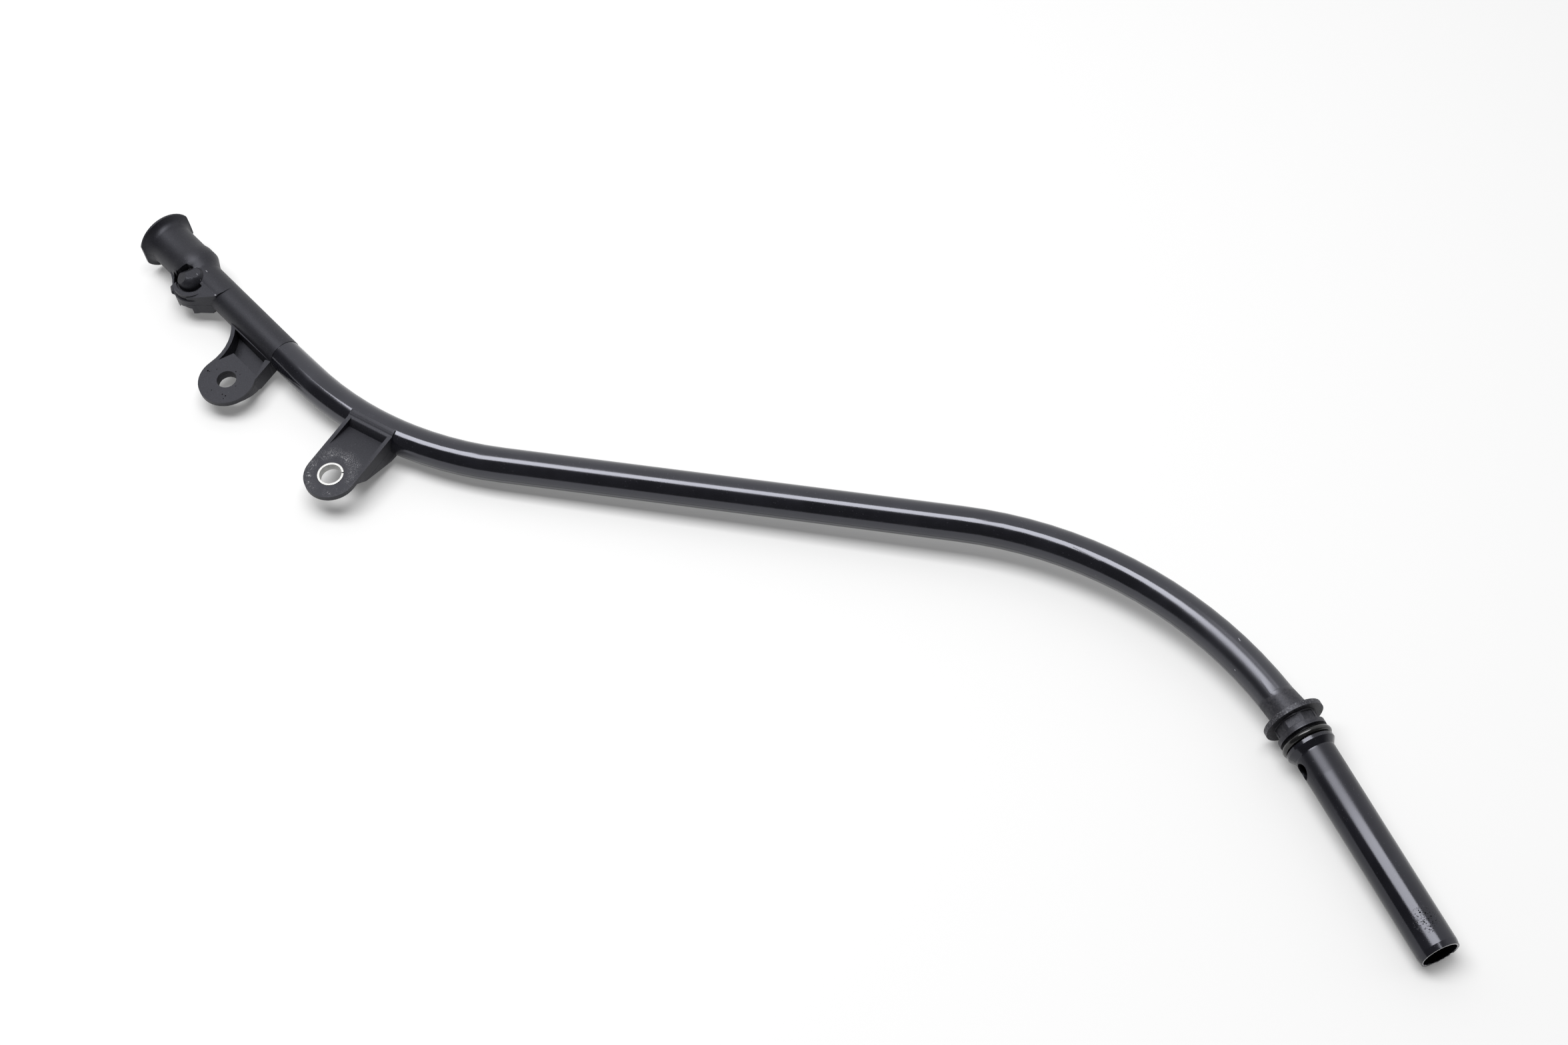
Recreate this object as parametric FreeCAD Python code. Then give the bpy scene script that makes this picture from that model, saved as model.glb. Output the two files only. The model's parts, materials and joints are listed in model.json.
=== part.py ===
import FreeCAD, Part
import math
import os

# Moulded dipstick tube, in millimetres. It is drawn flat, in the plane that its
# two bends share, with the long straight run along X and the mouth on the -X
# side. At the end the finished solids are laid down the way the tube rests.

V = FreeCAD.Vector
UP = V(0, 0, 1)

# Centre line, from the mouth to the lower end
HEAD_RUN = 97.0
BEND_1_RADIUS = 146.0
BEND_1_ANGLE = 36.7
MIDDLE_RUN = 174.8
BEND_2_RADIUS = 158.0
BEND_2_ANGLE = 55.7
LOWER_RUN = 86.2

# Tube
TUBE_OD = 13.4
HEAD_TUBE_OD = 12.9
TAPER_START = 84.0
WALL = 1.4
BORE = HEAD_TUBE_OD - 2 * WALL
SPIGOT_OD = 14.8
SPIGOT_BORE = 12.6
SPIGOT_THROAT = 6.0
END_TAPER_LENGTH = 2.0
END_TAPER = 0.35

# Head: mouth flange, neck, shoulder and sleeve
FLANGE_OD = 24.4
FLANGE_FLATS = 22.2
FLANGE_RIM = 1.1
FLANGE_CONE = 3.2
NECK_OD = 17.8
NECK_END = 17.0
SHOULDER_OD = 18.9
SHOULDER_START = 19.5
SHOULDER_END = 23.6
SLEEVE_OD = 13.3
SLEEVE_START = 29.6
SLEEVE_END = 82.7
MOUTH_BORE = 13.6
MOUTH_DEPTH = 15.0
THROAT_LENGTH = 3.0

# Ears: a flat face round each hole, side ribs level with it, deeper at the tube
EAR_RIB = 1.6
EAR_EDGE = 2.2
PAD = 0.45
EAR_A_STATION = 76.9
EAR_A_OFFSET = 23.7
EAR_A_TOP = 1.6
EAR_A_RADIUS = 11.3
EAR_A_HOLE = 7.8
EAR_A_THICK = 4.0
EAR_A_SIDE = 8.2
EAR_A_SIDE_FOOT = 5.2
EAR_A_SWEEP = 20.0
EAR_A_FACE_END = 14.4
EAR_A_FLANK = 7.0
EAR_A_FLOOR = -4.6
EAR_B_STATION = 137.4
EAR_B_OFFSET = 28.7
EAR_B_TOP = 6.0
EAR_B_RADIUS = 10.4
EAR_B_THICK = 3.2
EAR_B_SLOPE_START = 18.0
EAR_B_SLOPE_DROP = 3.0

# Rolled metal bush in ear B
BUSH_OD = 10.2
BUSH_ID = 8.4
BUSH_PROUD = 0.25
BUSH_SLIT = 0.5
BUSH_SLIT_ANGLE = 37.0

# Boss beside the neck, broken off
BOSS_STATION = 30.3
BOSS_OFFSET = 6.6
BOSS_RADIUS = 7.5
STUMP_RADIUS = 8.2
BOSS_LIP = 1.5
BOSS_LIP_TOP = 5.6
BOSS_BOTTOM = -5.0
GUSSET_EDGE = 4.3
GUSSET_SLOPE = 0.21
SADDLE_OD = 14.9
SADDLE_END = 45.1
SADDLE_FOOT = 41.4
DOME_RADIUS = 5.0
DOME_CENTRE = 4.8
DOME_SHIFT = 1.2
DOME_BACK_RADIUS = 4.5
DOME_FACETS = [(160, 42, 1.0), (-120, 38, 0.9), (60, 12, 0.5)]
BEAD_RADIUS = 1.15
BEAD_TURN = -27.0

# Collar, placed from the lower end: seat flange, windowed neck, lands and seal groove
COLLAR_TO_END = 96.0
COLLAR_SLEEVE_OD = 14.3
SEAT_OD = 22.2
SEAT_THICK = 1.9
SEAT_FILLET = 1.6
WINDOW_NECK_OD = 16.2
WINDOW_NECK_LENGTH = 4.2
WINDOW_DEPTH = 0.6
WINDOWS = 8
WINDOW_ANGLE = 36.0
LAND_1_OD = 17.9
LAND_1_LENGTH = 1.9
GROOVE_OD = 13.6
GROOVE_LENGTH = 4.1
LAND_2_OD = 17.9
LAND_2_LENGTH = 1.3
COLLAR_CONE = 2.3
VENT_DIAMETER = 6.1
VENT_TO_END = 76.2
VENT_TILT = 1.0

# Seal ring in the groove
RING_SECTION = 2.6
RING_OD = GROOVE_OD + 2 * RING_SECTION
RING_FLATS = 8
RING_SHIFT = 0.25

# Rest: the tube lies on its mouth flange, its seat flange and its lower end
REST_TURN_X = 3.443
REST_TURN_Y = -0.964


# Centre line points and headings
def heading(angle):
    return V(math.cos(math.radians(angle)), math.sin(math.radians(angle)), 0)


def left_of(direction):
    return UP.cross(direction)


HEAD_DIR = heading(-BEND_1_ANGLE)
MID_DIR = heading(0)
LOWER_DIR = heading(-BEND_2_ANGLE)
MOUTH = V(0, 0, 0)
P1 = MOUTH + HEAD_DIR * HEAD_RUN
C1 = P1 + left_of(HEAD_DIR) * BEND_1_RADIUS
P2 = C1 - left_of(MID_DIR) * BEND_1_RADIUS
P3 = P2 + MID_DIR * MIDDLE_RUN
C2 = P3 - left_of(MID_DIR) * BEND_2_RADIUS
P4 = C2 + left_of(LOWER_DIR) * BEND_2_RADIUS
P5 = P4 + LOWER_DIR * LOWER_RUN


def arc_mid(centre, radius, angle, side):
    return centre + left_of(heading(angle)) * (radius * side)


def ring_wire(centre, direction, diameter):
    return Part.Wire([Part.Circle(centre, direction, diameter / 2).toShape()])


def run(first, rest, extra):
    """A round bar along the centre line, longer by extra at both ends."""
    mid_1 = arc_mid(C1, BEND_1_RADIUS, -BEND_1_ANGLE / 2, -1)
    mid_2 = arc_mid(C2, BEND_2_RADIUS, -BEND_2_ANGLE / 2, 1)
    head = turned([(-extra, 0), (-extra, first / 2), (TAPER_START, first / 2),
                   (HEAD_RUN, rest / 2), (HEAD_RUN, 0)])
    edges = [Part.Arc(P1, mid_1, P2).toShape(), Part.LineSegment(P2, P3).toShape()]
    edges += [Part.Arc(P3, mid_2, P4).toShape()]
    edges += [Part.LineSegment(P4, P5 + LOWER_DIR * extra).toShape()]
    bar = Part.Wire(edges).makePipeShell([ring_wire(P1, HEAD_DIR, rest)], True, False)
    return on_head(head).fuse(bar)


def place(shape, origin, direction):
    """Moves a shape drawn with X along the tube and Y to its left."""
    turn = math.degrees(math.atan2(direction.y, direction.x))
    moved = shape.copy()
    target = FreeCAD.Placement(origin, FreeCAD.Rotation(UP, turn))
    moved.Placement = target.multiply(shape.Placement)
    return moved


def on_head(shape):
    return place(shape, MOUTH, HEAD_DIR)


def on_lower(shape, to_end):
    return place(shape, P5 - LOWER_DIR * to_end, LOWER_DIR)


def turned(profile):
    """A solid of revolution about X from (x, radius) points."""
    points = [V(x, r, 0) for x, r in profile]
    face = Part.Face(Part.makePolygon(points + points[:1]))
    return face.revolve(V(0, 0, 0), V(1, 0, 0), 360)


def slab(points, bottom, top):
    """A plate between two heights from a closed outline."""
    corners = [V(x, y, bottom) for x, y in points]
    face = Part.Face(Part.makePolygon(corners + corners[:1]))
    return face.extrude(V(0, 0, top - bottom))


def box(x0, x1, y0, y1, z0, z1):
    return Part.makeBox(x1 - x0, y1 - y0, z1 - z0, V(x0, y0, z0))


def drum(radius, x, y, bottom, top):
    return Part.makeCylinder(radius, top - bottom, V(x, y, bottom), UP)


def side_rib(points, x, thick):
    """A rib that stands across the tube, drawn in (y, z), thick along X."""
    corners = [V(x, y, z) for y, z in points]
    face = Part.Face(Part.makePolygon(corners + corners[:1]))
    return face.extrude(V(thick, 0, 0))


def side_view(points, y, thick):
    """A solid drawn in (x, z), thick along Y."""
    corners = [V(px, y, pz) for px, pz in points]
    face = Part.Face(Part.makePolygon(corners + corners[:1]))
    return face.extrude(V(0, thick, 0))


# Head: flange with two flats, neck, shoulder, sleeve
def head_body():
    r = FLANGE_OD / 2
    n = NECK_OD / 2
    cone_end = FLANGE_RIM + FLANGE_CONE
    profile = [(0, 0), (0, r - 0.3), (0.3, r), (FLANGE_RIM, r)]
    profile += [(FLANGE_RIM + 0.5, n + 1.6), (FLANGE_RIM + 1.6, n + 0.5)]
    profile += [(cone_end, n), (NECK_END, n)]
    profile += [(SHOULDER_START, SHOULDER_OD / 2), (SHOULDER_END, SHOULDER_OD / 2)]
    profile += [(SHOULDER_END + 2.0, SHOULDER_OD / 2 - 1.0)]
    profile += [(SLEEVE_START, SLEEVE_OD / 2), (SLEEVE_END, SLEEVE_OD / 2)]
    profile += [(SLEEVE_END, 0)]
    body = turned(profile)
    half = FLANGE_FLATS / 2
    for y in (half, -half - 5):
        body = body.cut(box(-1, cone_end, y, y + 5, -20, 20))
    return body


# Ear A: round end, side swept in towards the mouth, ribs round an open pocket
def ear_a():
    y0 = -EAR_A_OFFSET
    r = EAR_A_RADIUS
    edge = EAR_A_TOP - EAR_EDGE
    reach = 0.2 - HEAD_TUBE_OD / 2
    sweep_x = -r - EAR_A_SWEEP

    def sweep_at(y):
        return sweep_x + math.sqrt(EAR_A_SWEEP ** 2 - (y - y0) ** 2)

    foot = V(sweep_at(reach), reach, 0)
    middle_y = y0 + (reach - y0) * 0.62
    waist = V(-r, y0, 0)
    corner = V(EAR_A_SIDE, y0 + math.sqrt(r ** 2 - EAR_A_SIDE ** 2), 0)
    edges = [Part.Arc(foot, V(sweep_at(middle_y), middle_y, 0), waist).toShape()]
    edges.append(Part.Arc(waist, V(0, y0 - r, 0), corner).toShape())
    corners = [corner, V(EAR_A_SIDE_FOOT, -5.5, 0), V(EAR_A_SIDE_FOOT, 0, 0)]
    corners += [V(foot.x, 0, 0), foot]
    for a, b in zip(corners, corners[1:]):
        edges.append(Part.LineSegment(a, b).toShape())
    outline = Part.Face(Part.Wire(edges)).extrude(V(0, 0, 24))
    outline.translate(V(0, 0, -12))
    side = [(-3, EAR_A_TOP), (y0 - r - 1, EAR_A_TOP), (y0 - r - 1, edge)]
    side += [(y0 - 1.8, edge), (y0 + 1.2, edge - 0.7), (y0 + 5, edge - 2.4)]
    side += [(y0 + 8.9, edge - 5.2), (-3, edge - 5.4)]
    ear = outline.common(side_rib(side, -40, 60))
    behind = drum(EAR_A_SWEEP + EAR_RIB, sweep_x, y0, -12, 12)
    floor = [(-30, -EAR_A_FLANK), (-30, y0 + 3.2), (-9.9, y0 + 3.2), (-8.3, -EAR_A_FACE_END)]
    floor += [(EAR_A_SIDE - 1.2, -EAR_A_FACE_END), (EAR_A_SIDE_FOOT - 2.2, -EAR_A_FLANK)]
    pocket = slab(floor, EAR_A_FLOOR, 12)
    ear = ear.cut(pocket.cut(behind))
    ear = ear.fuse(drum(EAR_A_HOLE / 2 + 2.6, 0, y0, EAR_A_TOP - EAR_A_THICK, EAR_A_TOP))
    ear.translate(V(EAR_A_STATION, 0, 0))
    return ear


# Ear B: straight sides, face level with the ribs, floor that slopes to the tube
def ear_b():
    y0 = -EAR_B_OFFSET
    r = EAR_B_RADIUS
    top = EAR_B_TOP
    edge = top - EAR_EDGE
    outline = box(-r, r, y0, 0, -12, 12).fuse(drum(r, 0, y0, -12, 12))
    side = [(-2.8, top), (y0 - r - 1, top), (y0 - r - 1, edge), (y0 + 2.4, edge)]
    side += [(-22, 0), (-7.8, -5.4), (-2.8, -6)]
    ear = outline.common(side_rib(side, -r - 1, 2 * r + 2))
    low = top - EAR_B_SLOPE_DROP
    slope = [(-2, top + 2), (-EAR_B_SLOPE_START - 3, top + 2)]
    slope += [(-EAR_B_SLOPE_START, top), (-6, low), (-2, low)]
    under = [(-2, low - EAR_EDGE), (-6, low - EAR_EDGE), (-EAR_B_SLOPE_START, edge)]
    under += [(y0, edge), (y0, -9), (-2, -9)]
    for profile in (slope, under):
        ear = ear.cut(side_rib(profile, EAR_RIB - r, 2 * (r - EAR_RIB)))
    ear = ear.fuse(drum(BUSH_OD / 2 + 1.8, 0, y0, top - EAR_B_THICK, top))
    pad = Part.makeCylinder(TUBE_OD / 2 + PAD, 2 * r, V(-r, 0, 0), V(1, 0, 0))
    ear = ear.fuse(pad.common(box(-r, r, -10, -1.8, -6.2, 10)))
    angle = -BEND_1_ANGLE + math.degrees((EAR_B_STATION - HEAD_RUN) / BEND_1_RADIUS)
    origin = C1 - left_of(heading(angle)) * BEND_1_RADIUS
    return ear, origin, heading(angle)


# Boss: the stump that is left where a part of the moulding broke off
def boss():
    x = BOSS_STATION
    y = -BOSS_OFFSET
    r = BOSS_RADIUS
    stump = drum(STUMP_RADIUS, x, y, BOSS_BOTTOM, 2.7)
    stump = stump.fuse(drum(r - 0.8, x, y, 2, 3.5)).fuse(drum(r, x, y, 3.3, BOSS_LIP_TOP))
    web = [(x - 5, -1), (SADDLE_END, -1), (SADDLE_END - 1.3, y + 1.9), (x + 4.9, y - 6.1)]
    web += [(x - 1.2, y - 7.4), (x - 6, y - 3)]
    edge_y = y - 7.4
    tilted = [(edge_y, BOSS_BOTTOM), (edge_y, GUSSET_EDGE), (-1, GUSSET_EDGE - GUSSET_SLOPE * (edge_y + 1))]
    tilted += [(-1, BOSS_BOTTOM)]
    gusset = slab(web, BOSS_BOTTOM, 12).common(side_rib(tilted, 0, 60))
    saddle = Part.makeCylinder(SADDLE_OD / 2, SADDLE_END - 24, V(24, -1, -0.4), V(1, 0, 0))
    saddle = saddle.common(slab([(24, 3), (SADDLE_END, 3), (SADDLE_END, -1), (SADDLE_END - 1.3, y + 1.9),
                                 (24, y + 1.9)], BOSS_BOTTOM, 9))
    draft = [(x - 20, -12), (SADDLE_FOOT, -12), (SADDLE_FOOT, BOSS_BOTTOM)]
    draft += [(SADDLE_END, 5), (SADDLE_END, 12), (x - 20, 12)]
    draft = side_view(draft, -20, 30)
    gusset = gusset.common(draft)
    saddle = saddle.common(draft)
    outer = [(16.5, -6), (16.5, -8.9), (18.2, -9.7), (20.4, -10.7), (22.8, -12.3)]
    outer += [(25, -13.4), (27, -13), (27, -6)]
    return stump.fuse([gusset, saddle, slab(outer, -3, 1.2)])


def dome():
    """The lumpy core of the stump: two balls with flat broken faces."""
    centre = V(BOSS_STATION - DOME_SHIFT, -BOSS_OFFSET, DOME_CENTRE)
    ball = Part.makeSphere(DOME_RADIUS, centre)
    ball = ball.fuse(drum(DOME_RADIUS - 0.3, centre.x, centre.y, 0, DOME_CENTRE))
    ball = ball.fuse(Part.makeSphere(DOME_BACK_RADIUS, centre + V(0.6, 1.7, 0.4)))
    for azimuth, tilt, depth in DOME_FACETS:
        facet = box(-9, 9, -9, 9, DOME_RADIUS - depth, DOME_RADIUS + 4)
        facet.rotate(V(0, 0, 0), V(0, 1, 0), tilt)
        facet.rotate(V(0, 0, 0), UP, azimuth)
        facet.translate(centre)
        ball = ball.cut(facet)
    return ball


def bead():
    """A rounded rest of the outer wall, with its ends drawn in."""
    rings = []
    for along, size in ((-1.0, 0.5), (-0.3, 1.0), (2.7, 1.0), (3.4, 0.5)):
        corners = []
        for i in range(8):
            angle = math.radians(45 * i + 22.5)
            reach = BEAD_RADIUS * size
            corners.append(V(along, reach * math.cos(angle), reach * math.sin(angle)))
        rings.append(Part.makePolygon(corners + corners[:1]))
    rod = Part.makeLoft(rings, True, True)
    rod.Placement = FreeCAD.Placement(V(21.9, -12.0, -1.2), FreeCAD.Rotation(UP, BEAD_TURN))
    return rod


def break_cuts():
    """The torn places: a deep slot beside the core and a ragged lower wall."""
    x = BOSS_STATION
    y = -BOSS_OFFSET
    cup = drum(BOSS_RADIUS - BOSS_LIP, x - 0.4, y, BOSS_LIP_TOP - 1.7, BOSS_LIP_TOP + 8)
    cup = cup.common(slab([(x - 9, y + 3), (x - 9, y - 9), (x + 9, y - 9), (x + 9, y + 1)], 0, 14))
    open_side = slab([(x - 9, y - 1), (x - 9, y - 9), (x - 5.6, y - 5.2), (x - 4, y - 1)], 1.2, 9)
    slot = [(19.8, -8.6), (21.4, -8.2), (22.6, -6.5), (24.1, -3.6), (26.6, -2.4), (28, -5)]
    slot += [(26, -8), (26.2, -12.2), (24.8, -12.6), (22.4, -11.2), (20.4, -9.8)]
    slot = slab(slot, -2.4, 12).cut(Part.makeCylinder(BORE / 2 + 1.3, 60, V(0, 0, 0), V(1, 0, 0)))
    tear = [(22, -9), (22, -2.6), (26, -3.6), (28.7, -4.7), (30.4, -1.9), (33.5, -1)]
    tear += [(35.9, -1.9), (35.9, -9)]
    return cup.fuse([open_side, slot, side_view(tear, -20, 11)])


# Lower end: seat flange, windowed neck, lands with the seal groove, cone and spigot
def collar_body():
    s = SEAT_OD / 2
    n = WINDOW_NECK_OD / 2
    x1 = SEAT_THICK
    x2 = x1 + WINDOW_NECK_LENGTH
    x3 = x2 + LAND_1_LENGTH
    x4 = x3 + GROOVE_LENGTH
    x5 = x4 + LAND_2_LENGTH
    x6 = x5 + COLLAR_CONE
    x7 = COLLAR_TO_END - END_TAPER_LENGTH
    spigot = SPIGOT_OD / 2
    sleeve = COLLAR_SLEEVE_OD / 2
    profile = [(-9, 0), (-9, sleeve), (-SEAT_FILLET, sleeve), (0, sleeve + 1.3)]
    profile += [(0, s), (x1, s), (x1, n), (x2, n), (x2, LAND_1_OD / 2)]
    profile += [(x3, LAND_1_OD / 2), (x3, GROOVE_OD / 2), (x4, GROOVE_OD / 2)]
    profile += [(x4, LAND_2_OD / 2), (x5, LAND_2_OD / 2), (x6, spigot), (x7, spigot)]
    profile += [(COLLAR_TO_END, spigot - END_TAPER), (COLLAR_TO_END, 0)]
    body = turned(profile)
    for i in range(WINDOWS):
        window = box(x1 + 0.5, x2 - 0.5, -n * math.sin(math.radians(WINDOW_ANGLE / 2)),
                     n * math.sin(math.radians(WINDOW_ANGLE / 2)),
                     n - WINDOW_DEPTH, n + 1)
        window.rotate(V(0, 0, 0), V(1, 0, 0), 22.5 + 360 / WINDOWS * i)
        body = body.cut(window)
    return body


def vent():
    x = COLLAR_TO_END - VENT_TO_END
    direction = V(0, -math.cos(math.radians(VENT_TILT)), math.sin(math.radians(VENT_TILT)))
    return Part.makeCylinder(VENT_DIAMETER / 2, 12, V(x, 0, 0), direction)


# Guide tube: everything that is one moulding
ear_b_plate, ear_b_origin, ear_b_dir = ear_b()
tube = run(HEAD_TUBE_OD, TUBE_OD, 0)
tube = tube.fuse(on_head(head_body()))
tube = tube.fuse(on_head(ear_a()))
tube = tube.fuse(on_head(boss()))
tube = tube.cut(on_head(break_cuts()))
tube = tube.fuse(on_head(dome())).fuse(on_head(bead()))
tube = tube.fuse(place(ear_b_plate, ear_b_origin, ear_b_dir))
tube = tube.fuse(on_lower(collar_body(), COLLAR_TO_END))
mouth_end = MOUTH_DEPTH + THROAT_LENGTH
mouth = turned([(-1, 0), (-1, MOUTH_BORE / 2), (MOUTH_DEPTH, MOUTH_BORE / 2),
                (mouth_end, BORE / 2), (mouth_end, 0)])
tube = tube.cut(run(BORE, BORE, 1)).cut(on_head(mouth))
ear_a_hole = drum(EAR_A_HOLE / 2, EAR_A_STATION, -EAR_A_OFFSET, -12, 12)
tube = tube.cut(on_head(ear_a_hole))
bush_hole = drum(BUSH_OD / 2, 0, -EAR_B_OFFSET, -12, 12)
tube = tube.cut(place(bush_hole, ear_b_origin, ear_b_dir))
throat = turned([(0, 0), (0, BORE / 2), (SPIGOT_THROAT, SPIGOT_BORE / 2),
                 (LOWER_RUN + 1, SPIGOT_BORE / 2), (LOWER_RUN + 1, 0)])
tube = tube.cut(on_lower(throat, LOWER_RUN)).cut(on_lower(vent(), COLLAR_TO_END))

# Bush: a rolled strip with an open slit
bush_bottom = EAR_B_TOP - EAR_B_THICK
bush = drum(BUSH_OD / 2, 0, 0, bush_bottom, EAR_B_TOP + BUSH_PROUD)
bush = bush.cut(drum(BUSH_ID / 2, 0, 0, -12, 12))
slit = box(0, BUSH_OD, -BUSH_SLIT / 2, BUSH_SLIT / 2, -12, 12)
slit.rotate(V(0, 0, 0), UP, BUSH_SLIT_ANGLE)
bush = bush.cut(slit)
bush.translate(V(0, -EAR_B_OFFSET, 0))
bush = place(bush, ear_b_origin, ear_b_dir)

# Seal ring, its round section drawn with flats so that it sits flat in the groove
ring_x = SEAT_THICK + WINDOW_NECK_LENGTH + LAND_1_LENGTH + GROOVE_LENGTH / 2 + RING_SHIFT
ring_r = (RING_OD - RING_SECTION) / 2
corner_r = RING_SECTION / 2 / math.cos(math.pi / RING_FLATS)
section = []
for i in range(RING_FLATS):
    angle = math.pi * (2 * i + 1) / RING_FLATS
    section.append((ring_x + corner_r * math.sin(angle), ring_r + corner_r * math.cos(angle)))
ring = on_lower(turned(section), COLLAR_TO_END)

# Laid down to rest, with the origin under the middle of the bounding box
lay = FreeCAD.Rotation(V(0, 1, 0), REST_TURN_Y).multiply(FreeCAD.Rotation(V(1, 0, 0), REST_TURN_X))
parts = {"guide_tube": tube.removeSplitter(), "bush": bush, "o_ring": ring}
for name, shape in parts.items():
    parts[name] = shape.transformed(FreeCAD.Placement(V(0, 0, 0), lay).toMatrix())
whole = Part.makeCompound(list(parts.values())).optimalBoundingBox(False)
shift = V(-whole.Center.x, -whole.Center.y, -whole.ZMin)

os.makedirs("parts", exist_ok=True)
for name, shape in parts.items():
    solid = shape.translated(shift)
    print(name, "solids", len(solid.Solids), "valid", solid.isValid(), "volume",
          round(solid.Volume, 1), "box", solid.BoundBox)
    solid.exportStep("parts/" + name + ".step")
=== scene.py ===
# %% [markdown]
# # An oil dipstick tube, dressed for its picture
# The real part is one long black moulding. It guides a dipstick from a flanged
# mouth, round two bends, down to a sealed collar that sits in an engine block.
# The shapes come from the CAD frame. Blender adds what a maker would see on the
# bench: gloss and matt plastic, the mould's parting line, a whitened bolt ear,
# a scuffed metal bush and the torn boss beside the mouth.

# %% Load the frame
import bpy
import json
import math
from mathutils import Vector, Matrix

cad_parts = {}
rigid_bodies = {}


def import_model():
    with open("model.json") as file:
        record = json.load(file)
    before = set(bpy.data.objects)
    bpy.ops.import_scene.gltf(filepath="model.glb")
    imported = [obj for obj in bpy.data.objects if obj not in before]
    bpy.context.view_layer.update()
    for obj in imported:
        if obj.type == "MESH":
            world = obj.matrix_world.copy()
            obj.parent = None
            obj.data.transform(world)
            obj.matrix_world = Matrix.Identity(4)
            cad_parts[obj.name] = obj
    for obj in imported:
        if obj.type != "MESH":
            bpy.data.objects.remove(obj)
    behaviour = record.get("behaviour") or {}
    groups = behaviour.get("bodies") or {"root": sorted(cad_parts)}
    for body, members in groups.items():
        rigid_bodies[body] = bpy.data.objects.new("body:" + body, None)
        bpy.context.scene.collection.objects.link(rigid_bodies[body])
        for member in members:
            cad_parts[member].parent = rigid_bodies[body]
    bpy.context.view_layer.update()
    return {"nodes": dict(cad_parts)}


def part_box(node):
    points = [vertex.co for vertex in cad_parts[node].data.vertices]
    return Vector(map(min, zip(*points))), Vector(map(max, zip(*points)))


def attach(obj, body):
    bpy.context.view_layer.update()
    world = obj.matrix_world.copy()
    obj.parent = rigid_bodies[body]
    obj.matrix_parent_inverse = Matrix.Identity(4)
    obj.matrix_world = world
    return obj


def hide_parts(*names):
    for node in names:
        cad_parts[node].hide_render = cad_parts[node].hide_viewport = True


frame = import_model()
for node in bpy.context.scene.objects:
    node.select_set(False)
print("nodes in the frame:", sorted(frame["nodes"]))

# %% [markdown]
# ## Where things are
# Every finish below needs to know which part of the tube it is on. The tube has
# three straight runs, so a point and three directions for each end are enough:
# along the run, to its left, and up. All lengths are metres.

# %% Places on the tube
MOUTH = Vector((-0.25910, 0.11076, 0.01222))
HEAD_ALONG = Vector((0.80227, -0.59655, -0.02240))
HEAD_LEFT = Vector((0.59673, 0.80033, 0.05820))
LOWER_START = Vector((0.21134, -0.04483, 0.01078))
LOWER_ALONG = Vector((0.56428, -0.82461, -0.04012))
LOWER_LEFT = Vector((0.82541, 0.56251, 0.04774))
TUBE_UP = Vector((-0.01679, -0.06006, 0.99805))
LOWER_START_STATION = 0.51892


def on_head(along, left, up):
    """A point given along the head run, to its left and up from its axis."""
    return MOUTH + HEAD_ALONG * along + HEAD_LEFT * left + TUBE_UP * up


EAR_A_HOLE = on_head(0.0769, -0.0237, 0.0016)
EAR_B_ALONG = Vector((0.93476, -0.35528, -0.00565))
EAR_B_LEFT = Vector((0.35493, 0.93284, 0.06211))
BUSH_TO_TUBE = 0.0287
BUSH_CENTRE = (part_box("bush")[0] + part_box("bush")[1]) / 2
EAR_B_ROOT = BUSH_CENTRE + EAR_B_LEFT * BUSH_TO_TUBE
EAR_B_ROOT -= TUBE_UP * (EAR_B_ROOT - MOUTH).dot(TUBE_UP)
print("bush centre:", [round(c, 4) for c in BUSH_CENTRE])

# %% [markdown]
# ## Small corrections to the tube's copy
# Some forms are too fine for the solid, so they are set right on the mesh. Each
# function is told a point and asks where it lies on the tube. Two of them move
# points: the sleeve above the seat flange grows out of the bent tube, and the
# rim of the lower end is worn underneath. The other two find edges.

# %% Corrections to the tube's copy
HEAD_FRAME = (HEAD_ALONG, HEAD_LEFT, TUBE_UP)
LOWER_FRAME = (LOWER_ALONG, LOWER_LEFT, TUBE_UP)
LEDGE_SIDE = -0.007
LEDGE_HEIGHT = 0.0016
LEDGE_START = 0.05
LEDGE_END = 0.0825
SLEEVE_START = -0.0188
SLEEVE_RADIUS = 0.00715
LEVEL_RADIUS = 0.00673
LEVEL_SIDE = -0.00112
TAPER_START = 0.0842
RIM_START = 0.08615
RIM_UNDERSIDE = -0.003
RIM_BITE = 0.00045


def placed(co, start, directions):
    """How far a point lies from start along each of three directions."""
    offset = co - start
    return [offset.dot(direction) for direction in directions]


def on_ear_a_ledge(co):
    """True on the edge of the narrow ledge between the near ear's pocket and the tube."""
    along, left, up = placed(co, MOUTH, HEAD_FRAME)
    on_ledge = abs(left - LEDGE_SIDE) < 0.00003 and abs(up - LEDGE_HEIGHT) < 0.00003
    return on_ledge and LEDGE_START < along < LEDGE_END


def blend_collar_sleeve(co):
    """The sleeve above the seat flange starts level with the bent tube."""
    along, left, up = placed(co, LOWER_START, LOWER_FRAME)
    radius = math.hypot(left, up)
    if abs(along - SLEEVE_START) < 0.00005 and abs(radius - SLEEVE_RADIUS) < 0.00005:
        share = LEVEL_RADIUS / radius
        across = LOWER_LEFT * (left * share + LEVEL_SIDE)
        return LOWER_START + LOWER_ALONG * along + across + TUBE_UP * up * share
    return co


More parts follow.
